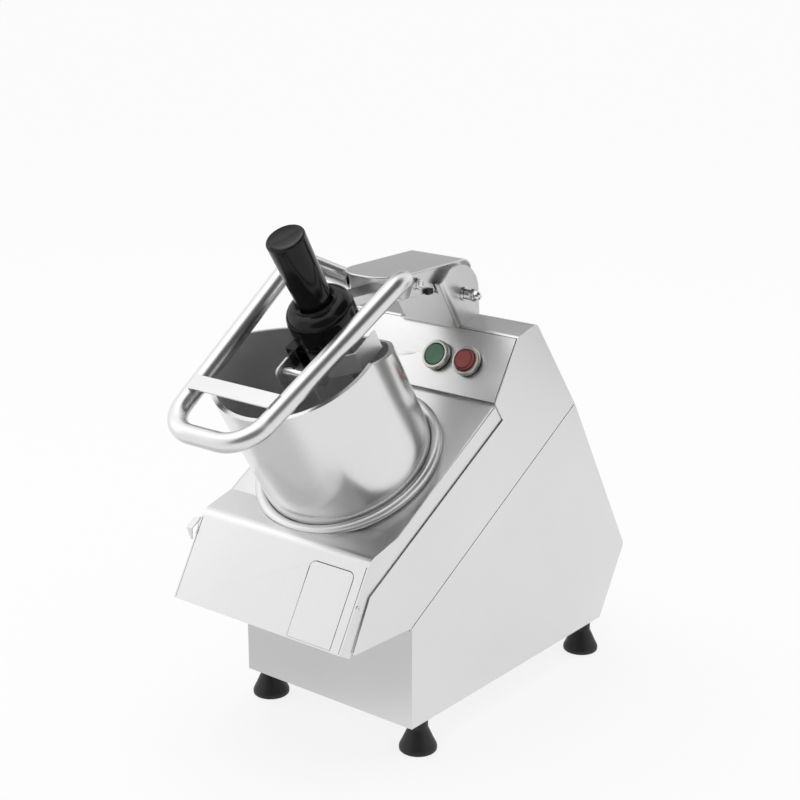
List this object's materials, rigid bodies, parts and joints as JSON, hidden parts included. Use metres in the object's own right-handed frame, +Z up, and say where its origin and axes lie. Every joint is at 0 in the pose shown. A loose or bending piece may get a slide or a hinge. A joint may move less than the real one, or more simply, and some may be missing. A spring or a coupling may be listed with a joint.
{
  "type": "vegetable cutter",
  "caption": "Counter-top vegetable cutter: folded steel housing, sloping lid, round hopper, swinging lever with pusher and hand plunger, slicing disc, start and stop buttons.",
  "frame": {"origin": "on the table under the middle of the machine's outline", "axes": "+X to the machine's right, -Y to its front, +Z up"},
  "size_m": [0.2598, 0.6115, 0.579],
  "materials": {
    "satin_steel": "satin",
    "polished_steel": "polished satin",
    "bright_steel": "bright",
    "black_plastic": "gloss",
    "black_rubber": "matte",
    "cast_alloy": "cast",
    "green_cap": "gloss",
    "red_cap": "gloss"
  },
  "bodies": {
    "body": {"base_shell": "satin_steel", "bottom_plate": "satin_steel", "upper_shell": "satin_steel", "button_panel": "satin_steel", "foot_front_left": "black_rubber", "foot_front_right": "black_rubber", "foot_rear_left": "black_rubber", "foot_rear_right": "black_rubber", "foot_studs": "bright_steel", "cable_gland": "black_plastic", "floor_plate": "satin_steel", "chamber_bowl": "cast_alloy", "discharge_chute": "satin_steel", "bearing_housing": "cast_alloy", "upper_bearing": "bright_steel", "lower_bearing": "bright_steel", "motor_body": "cast_alloy", "start_bezel": "bright_steel", "stop_bezel": "bright_steel", "start_switch": "black_plastic", "stop_switch": "black_plastic", "hinge_bracket": "satin_steel", "hinge_pin": "bright_steel", "lever_bumpers": "black_rubber", "lid": "satin_steel", "apron_plate": "satin_steel", "hopper": "polished_steel", "hopper_ring": "polished_steel", "lid_screw": "bright_steel", "latch_keeper": "bright_steel"},
    "spindle": {"spindle_shaft": "bright_steel", "cutting_disc": "polished_steel", "disc_blades": "satin_steel", "ejector_disc": "black_plastic", "disc_nut": "black_plastic"},
    "lever": {"lever_tube": "bright_steel", "lever_hub": "satin_steel", "lever_cover": "satin_steel", "cross_plate": "satin_steel", "carrier_bar": "satin_steel", "guide_head": "black_plastic", "pivot_knuckle": "bright_steel", "pivot_pin": "bright_steel", "hub_bolt": "bright_steel"},
    "pusher": {"pusher_box": "satin_steel", "pusher_cheeks": "satin_steel", "pusher_guard": "satin_steel", "guide_tube": "bright_steel"},
    "plunger": {"plunger_handle": "black_plastic", "plunger_rod": "black_plastic"},
    "start": {"start_button": "green_cap"},
    "stop": {"stop_button": "red_cap"},
    "latch": {"latch_hook": "bright_steel"}
  },
  "joints": [
    {"name": "lever_hinge", "type": "hinge", "parent": "body", "child": "lever", "pos_m": [0, 0.07097, 0.47027], "axis": [-1, 0, 0], "range_deg": [0, 95]},
    {"name": "pusher_swing", "type": "hinge", "parent": "lever", "child": "pusher", "pos_m": [0, -0.15129, 0.41826], "axis": [1, 0, 0], "range_deg": [-1.5, 1.5]},
    {"name": "plunger_slide", "type": "slide", "parent": "pusher", "child": "plunger", "axis": [0, -0.515, 0.8572], "range_m": [0, 0.12]},
    {"name": "start_press", "type": "slide", "parent": "body", "child": "start", "axis": [0, 0.8462, -0.5329], "range_m": [0, 0.0034], "stiffness_N_per_m": 600},
    {"name": "stop_press", "type": "slide", "parent": "body", "child": "stop", "axis": [0, 0.8462, -0.5329], "range_m": [0, 0.0034], "stiffness_N_per_m": 600},
    {"name": "spindle_spin", "type": "hinge", "parent": "body", "child": "spindle", "pos_m": [0, -0.07722, 0.30178], "axis": [0, -0.515, 0.8572], "continuous": true},
    {"name": "latch_swing", "type": "hinge", "parent": "body", "child": "latch", "pos_m": [-0.122, -0.1813, 0.23473], "axis": [1, 0, 0], "range_deg": [0, 80]}
  ]
}
